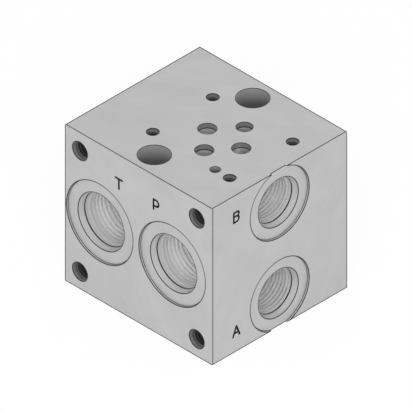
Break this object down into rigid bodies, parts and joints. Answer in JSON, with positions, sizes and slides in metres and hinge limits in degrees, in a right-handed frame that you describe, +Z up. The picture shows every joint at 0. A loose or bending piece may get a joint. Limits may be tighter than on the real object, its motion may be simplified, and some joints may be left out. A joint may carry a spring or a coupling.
{
  "type": "hydraulic manifold block",
  "caption": "Squarish aluminium block that carries one directional valve on top, with P and T ports in front, A and B ports on the right and joined passages inside.",
  "frame": {"origin": "centre of the bottom face, on the surface that the block stands on", "axes": "+X to the right face with ports A and B, -Y to the front face with ports P and T, +Z up to the valve face"},
  "size_m": [0.0762, 0.0698, 0.0698],
  "materials": {
    "block_aluminium": "fine-milled, satin",
    "plug_sleeve_steel": "zinc-plated, turned",
    "plug_ball_steel": "ground and polished"
  },
  "bodies": {
    "root": {"manifold_block": "block_aluminium", "cross_drill_plug_sleeve": "plug_sleeve_steel", "cross_drill_plug_ball": "plug_ball_steel"}
  },
  "joints": []
}
